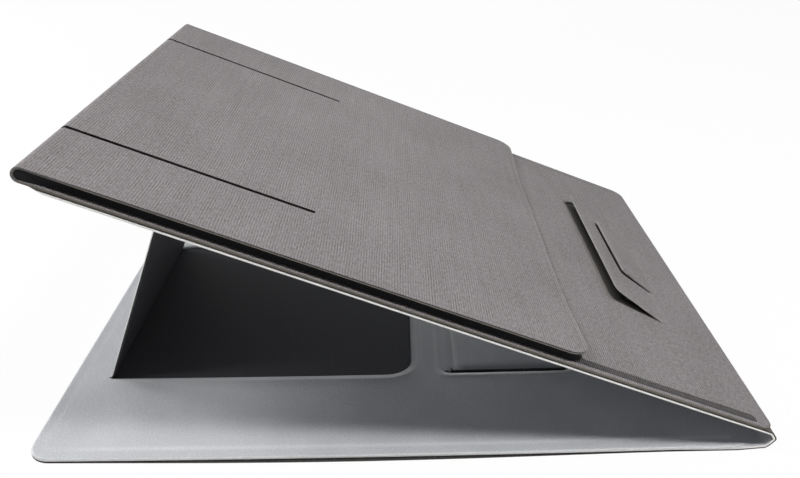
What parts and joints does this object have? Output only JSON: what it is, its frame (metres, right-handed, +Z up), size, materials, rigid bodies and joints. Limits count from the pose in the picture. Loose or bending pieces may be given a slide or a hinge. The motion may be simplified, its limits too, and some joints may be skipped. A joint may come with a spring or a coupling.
{
  "type": "folding laptop stand",
  "caption": "Folding sleeve that props open as a laptop stand: flat base, soft spine, sloping leaf with an elastic-sided pocket, hinged props and a stop tab.",
  "frame": {"origin": "on the table, under the middle of the stand's box", "axes": "+X along the stand to its low end, where the spine is; +Y across the stand; +Z up"},
  "size_m": [0.34, 0.283, 0.1426],
  "materials": {
    "linen_skin": "linen-grained polyurethane, matte",
    "backing_skin": "linen-grained polyurethane, matte",
    "pale_lining": "smooth polyurethane, satin",
    "black_skin": "smooth polyurethane, matte",
    "greyboard": "pressed fibre board",
    "pocket_lining": "brushed fabric",
    "elastic": "ribbed elastic tape",
    "ribbed_band": "ribbed elastic tape, pressed in",
    "keeper_steel": "thin strip",
    "magnet": "nickel plated"
  },
  "bodies": {
    "base": {"base_cover": "linen_skin", "base_board": "greyboard", "base_lining": "pale_lining", "window_floor": "black_skin", "low_window_floor": "black_skin", "spine_cover": "linen_skin", "spine_lining": "pale_lining", "prop_foot_fold": "pale_lining", "low_prop_crease": "pale_lining"},
    "leaf": {"leaf_lining": "pale_lining", "leaf_backing": "backing_skin", "leaf_board": "greyboard", "leaf_cover": "linen_skin", "tall_keeper": "keeper_steel", "low_keeper": "keeper_steel", "near_edge_band": "ribbed_band", "far_edge_band": "ribbed_band", "pocket_front_cover": "linen_skin", "pocket_front_lining": "pocket_lining", "pocket_end_fold": "linen_skin", "near_gusset": "elastic", "far_gusset": "elastic", "stop_tab_crease": "linen_skin", "stop_tongue_crease": "linen_skin"},
    "prop": {"prop_lining": "pale_lining", "prop_board": "greyboard", "prop_skin": "black_skin", "prop_crease_fold": "pale_lining"},
    "prop_flap": {"prop_flap_lining": "pale_lining", "prop_flap_board": "greyboard", "prop_flap_skin": "black_skin", "prop_flap_magnets": "magnet"},
    "low_prop": {"low_prop_lining": "pale_lining", "low_prop_board": "greyboard", "low_prop_skin": "black_skin", "low_flap_crease": "pale_lining"},
    "low_flap": {"low_flap_lining": "pale_lining", "low_flap_board": "greyboard", "low_flap_skin": "black_skin", "low_flap_magnets": "magnet"},
    "stop_tab": {"stop_tab_cover": "linen_skin", "stop_tab_board": "greyboard"},
    "stop_tongue": {"stop_tongue_cover": "linen_skin", "stop_tongue_board": "greyboard"}
  },
  "joints": [
    {"name": "cover_hinge", "type": "hinge", "parent": "base", "child": "leaf", "pos_m": [0.1647, 0, 0.0053], "axis": [0, 1, 0], "range_deg": [0, 150], "deforming": ["spine_cover", "spine_lining"]},
    {"name": "prop_fold", "type": "hinge", "parent": "base", "child": "prop", "pos_m": [-0.1503, 0, 0.0034], "axis": [0, 1, 0], "range_deg": [0, 67.9], "deforming": ["prop_foot_fold"]},
    {"name": "prop_flap_fold", "type": "hinge", "parent": "prop", "child": "prop_flap", "pos_m": [-0.10202, 0, 0.11512], "axis": [0, 1, 0], "range_deg": [-90, 0], "deforming": ["prop_crease_fold"]},
    {"name": "low_prop_fold", "type": "hinge", "parent": "base", "child": "low_prop", "pos_m": [0.0255, 0, 0.0022], "axis": [0, 1, 0], "range_deg": [-75, 0], "deforming": ["low_prop_crease"]},
    {"name": "low_flap_fold", "type": "hinge", "parent": "low_prop", "child": "low_flap", "pos_m": [0.06592, 0, 0.0007], "axis": [0, 1, 0], "range_deg": [0, 90], "deforming": ["low_flap_crease"]},
    {"name": "stop_tab_hinge", "type": "hinge", "parent": "leaf", "child": "stop_tab", "pos_m": [0.13991, 0, 0.02238], "axis": [0, 1, 0], "range_deg": [-12, 48], "deforming": ["stop_tab_crease"]},
    {"name": "stop_tongue_hinge", "type": "hinge", "parent": "leaf", "child": "stop_tongue", "pos_m": [0.14454, 0, 0.0205], "axis": [0, 1, 0], "range_deg": [-15, 45], "deforming": ["stop_tongue_crease"]}
  ],
  "couplings": [
    {"joint": "prop_flap_fold", "follows": "prop_fold", "ratio": -1.3255},
    {"joint": "low_flap_fold", "follows": "low_prop_fold", "ratio": -1.2}
  ]
}
